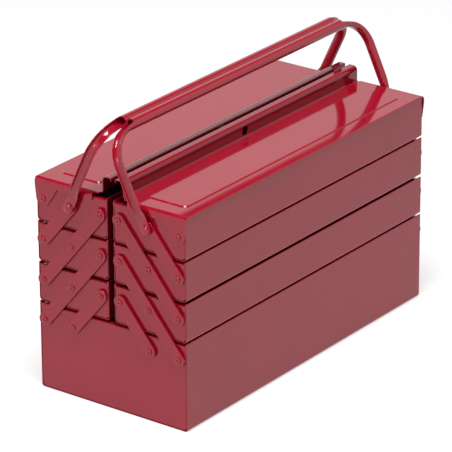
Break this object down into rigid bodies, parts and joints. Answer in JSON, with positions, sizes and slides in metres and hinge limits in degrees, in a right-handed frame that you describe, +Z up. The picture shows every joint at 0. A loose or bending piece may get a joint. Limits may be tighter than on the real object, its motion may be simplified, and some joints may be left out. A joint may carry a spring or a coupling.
{
  "type": "cantilever tool box",
  "caption": "Red steel cantilever tool box with a deep base bin, paired trays that swing out in tiers on riveted links, two hinged lids and two bail handles.",
  "frame": {"origin": "centre of the base's underside", "axes": "+X along the box's length, the front trays and the front lid towards -Y, +Z up"},
  "size_m": [0.456, 0.2, 0.3261],
  "materials": {
    "box_paint": "glossy deep red paint on folded sheet steel",
    "link_paint": "glossy deep red paint on flat steel links",
    "handle_paint": "glossy deep red paint on pressed and rolled steel",
    "fastener_paint": "glossy deep red paint on rivets, bolts, bushes and nuts"
  },
  "bodies": {
    "base": {"base_pan": "box_paint", "base_left_end": "box_paint", "base_right_end": "box_paint", "base_rivets": "fastener_paint"},
    "front_lower_tray": {"front_lower_tray": "box_paint", "front_lower_left_end": "box_paint", "front_lower_right_end": "box_paint", "front_lower_rivets": "fastener_paint"},
    "front_middle_tray": {"front_middle_tray": "box_paint", "front_middle_left_end": "box_paint", "front_middle_right_end": "box_paint", "front_middle_rivets": "fastener_paint"},
    "front_upper_tray": {"front_upper_tray": "box_paint", "front_upper_left_end": "box_paint", "front_upper_right_end": "box_paint", "front_upper_rivets": "fastener_paint", "front_handle_bolts": "fastener_paint", "front_handle_spacers": "fastener_paint", "front_handle_nuts": "fastener_paint"},
    "front_lower_short_links": {"front_left_lower_short_link": "link_paint", "front_right_lower_short_link": "link_paint"},
    "front_lower_long_links": {"front_left_lower_long_link": "link_paint", "front_right_lower_long_link": "link_paint"},
    "front_upper_long_links": {"front_left_upper_long_link": "link_paint", "front_right_upper_long_link": "link_paint"},
    "front_upper_short_links": {"front_left_upper_short_link": "link_paint", "front_right_upper_short_link": "link_paint"},
    "front_lid": {"front_lid": "box_paint"},
    "front_handle": {"front_handle": "handle_paint"},
    "rear_lower_tray": {"rear_lower_tray": "box_paint", "rear_lower_left_end": "box_paint", "rear_lower_right_end": "box_paint", "rear_lower_rivets": "fastener_paint"},
    "rear_middle_tray": {"rear_middle_tray": "box_paint", "rear_middle_left_end": "box_paint", "rear_middle_right_end": "box_paint", "rear_middle_rivets": "fastener_paint"},
    "rear_upper_tray": {"rear_upper_tray": "box_paint", "rear_upper_left_end": "box_paint", "rear_upper_right_end": "box_paint", "rear_upper_rivets": "fastener_paint", "rear_handle_bolts": "fastener_paint", "rear_handle_spacers": "fastener_paint", "rear_handle_nuts": "fastener_paint"},
    "rear_lower_short_links": {"rear_left_lower_short_link": "link_paint", "rear_right_lower_short_link": "link_paint"},
    "rear_lower_long_links": {"rear_left_lower_long_link": "link_paint", "rear_right_lower_long_link": "link_paint"},
    "rear_upper_long_links": {"rear_left_upper_long_link": "link_paint", "rear_right_upper_long_link": "link_paint"},
    "rear_upper_short_links": {"rear_left_upper_short_link": "link_paint", "rear_right_upper_short_link": "link_paint"},
    "rear_lid": {"rear_lid": "box_paint"},
    "rear_handle": {"rear_handle": "handle_paint"}
  },
  "joints": [
    {"name": "front_swing", "type": "hinge", "parent": "base", "child": "front_lower_long_links", "pos_m": [0, -0.0895, 0.082], "axis": [1, 0, 0], "range_deg": [0, 79]},
    {"name": "front_short_link_turn", "type": "hinge", "parent": "base", "child": "front_lower_short_links", "pos_m": [0, -0.05112, 0.082], "axis": [1, 0, 0], "range_deg": [0, 79]},
    {"name": "front_lower_tray_turn", "type": "hinge", "parent": "front_lower_long_links", "child": "front_lower_tray", "pos_m": [0, -0.05112, 0.1284], "axis": [1, 0, 0], "range_deg": [-79, 0]},
    {"name": "front_upper_long_link_turn", "type": "hinge", "parent": "front_lower_tray", "child": "front_upper_long_links", "pos_m": [0, -0.0895, 0.1284], "axis": [1, 0, 0], "range_deg": [0, 79]},
    {"name": "front_middle_tray_turn", "type": "hinge", "parent": "front_upper_long_links", "child": "front_middle_tray", "pos_m": [0, -0.05112, 0.1748], "axis": [1, 0, 0], "range_deg": [-79, 0]},
    {"name": "front_upper_short_link_turn", "type": "hinge", "parent": "front_middle_tray", "child": "front_upper_short_links", "pos_m": [0, -0.0895, 0.1748], "axis": [1, 0, 0], "range_deg": [0, 79]},
    {"name": "front_upper_tray_turn", "type": "hinge", "parent": "front_upper_short_links", "child": "front_upper_tray", "pos_m": [0, -0.05112, 0.2212], "axis": [1, 0, 0], "range_deg": [-79, 0]},
    {"name": "front_lid_hinge", "type": "hinge", "parent": "front_upper_tray", "child": "front_lid", "pos_m": [0, -0.0895, 0.2212], "axis": [1, 0, 0], "range_deg": [0, 125]},
    {"name": "front_handle_hinge", "type": "hinge", "parent": "front_upper_tray", "child": "front_handle", "pos_m": [0, -0.05112, 0.2212], "axis": [1, 0, 0], "range_deg": [0, 165]},
    {"name": "rear_swing", "type": "hinge", "parent": "base", "child": "rear_lower_long_links", "pos_m": [0, 0.0895, 0.082], "axis": [-1, 0, 0], "range_deg": [0, 79]},
    {"name": "rear_short_link_turn", "type": "hinge", "parent": "base", "child": "rear_lower_short_links", "pos_m": [0, 0.05112, 0.082], "axis": [-1, 0, 0], "range_deg": [0, 79]},
    {"name": "rear_lower_tray_turn", "type": "hinge", "parent": "rear_lower_long_links", "child": "rear_lower_tray", "pos_m": [0, 0.05112, 0.1284], "axis": [-1, 0, 0], "range_deg": [-79, 0]},
    {"name": "rear_upper_long_link_turn", "type": "hinge", "parent": "rear_lower_tray", "child": "rear_upper_long_links", "pos_m": [0, 0.0895, 0.1284], "axis": [-1, 0, 0], "range_deg": [0, 79]},
    {"name": "rear_middle_tray_turn", "type": "hinge", "parent": "rear_upper_long_links", "child": "rear_middle_tray", "pos_m": [0, 0.05112, 0.1748], "axis": [-1, 0, 0], "range_deg": [-79, 0]},
    {"name": "rear_upper_short_link_turn", "type": "hinge", "parent": "rear_middle_tray", "child": "rear_upper_short_links", "pos_m": [0, 0.0895, 0.1748], "axis": [-1, 0, 0], "range_deg": [0, 79]},
    {"name": "rear_upper_tray_turn", "type": "hinge", "parent": "rear_upper_short_links", "child": "rear_upper_tray", "pos_m": [0, 0.05112, 0.2212], "axis": [-1, 0, 0], "range_deg": [-79, 0]},
    {"name": "rear_lid_hinge", "type": "hinge", "parent": "rear_upper_tray", "child": "rear_lid", "pos_m": [0, 0.0895, 0.2212], "axis": [-1, 0, 0], "range_deg": [0, 125]},
    {"name": "rear_handle_hinge", "type": "hinge", "parent": "rear_upper_tray", "child": "rear_handle", "pos_m": [0, 0.05112, 0.2212], "axis": [-1, 0, 0], "range_deg": [0, 165]}
  ],
  "couplings": [
    {"joint": "front_short_link_turn", "follows": "front_swing", "ratio": 1},
    {"joint": "front_lower_tray_turn", "follows": "front_swing", "ratio": -1},
    {"joint": "front_upper_long_link_turn", "follows": "front_swing", "ratio": 1},
    {"joint": "front_middle_tray_turn", "follows": "front_swing", "ratio": -1},
    {"joint": "front_upper_short_link_turn", "follows": "front_swing", "ratio": 1},
    {"joint": "front_upper_tray_turn", "follows": "front_swing", "ratio": -1},
    {"joint": "rear_short_link_turn", "follows": "rear_swing", "ratio": 1},
    {"joint": "rear_lower_tray_turn", "follows": "rear_swing", "ratio": -1},
    {"joint": "rear_upper_long_link_turn", "follows": "rear_swing", "ratio": 1},
    {"joint": "rear_middle_tray_turn", "follows": "rear_swing", "ratio": -1},
    {"joint": "rear_upper_short_link_turn", "follows": "rear_swing", "ratio": 1},
    {"joint": "rear_upper_tray_turn", "follows": "rear_swing", "ratio": -1}
  ]
}
